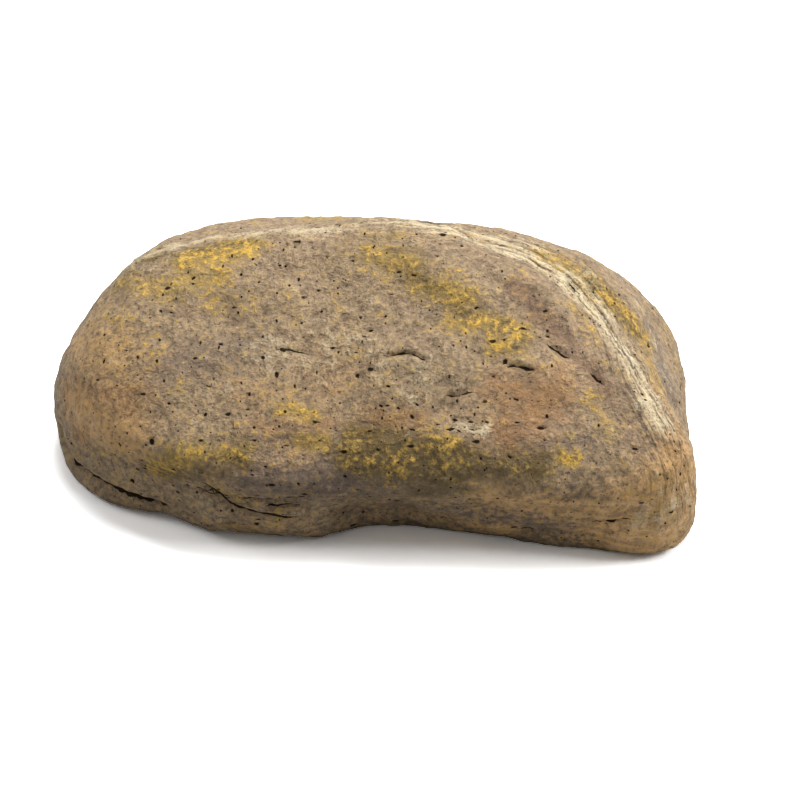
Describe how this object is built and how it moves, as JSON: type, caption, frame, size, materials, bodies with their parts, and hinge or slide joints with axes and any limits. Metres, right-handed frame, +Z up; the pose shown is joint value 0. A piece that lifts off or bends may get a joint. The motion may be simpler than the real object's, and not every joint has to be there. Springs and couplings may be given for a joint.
{
  "type": "key hiding rock",
  "caption": "Hollow cast garden stone with a hinged key compartment recessed in its underside.",
  "frame": {"origin": "middle of the footprint, on the plane that the rock stands on", "axes": "+X along the rock's length to the right as seen from the front, +Y away from the front, +Z up"},
  "size_m": [0.115, 0.08, 0.042],
  "materials": {
    "cast_stone": "cast resin stone, painted brown, ochre and grey, satin",
    "box_plastic": "fine moulded texture",
    "door_plastic": "fine moulded texture",
    "gasket_rubber": "matt",
    "seal_rubber": "matt",
    "screw_steel": "zinc plated",
    "pin_steel": "drawn wire",
    "pad_foam": "open-cell foam"
  },
  "bodies": {
    "rock": {"rock_shell": "cast_stone", "rock_base": "cast_stone", "key_box": "box_plastic", "box_gasket": "gasket_rubber", "box_screws": "screw_steel", "hinge_pin": "pin_steel", "key_pad": "pad_foam"},
    "door": {"box_door": "door_plastic", "door_seal": "seal_rubber"}
  },
  "joints": [
    {"name": "box_door_hinge", "type": "hinge", "parent": "rock", "child": "door", "pos_m": [0, 0.0178, 0.0025], "axis": [1, 0, 0], "range_deg": [0, 100]}
  ]
}
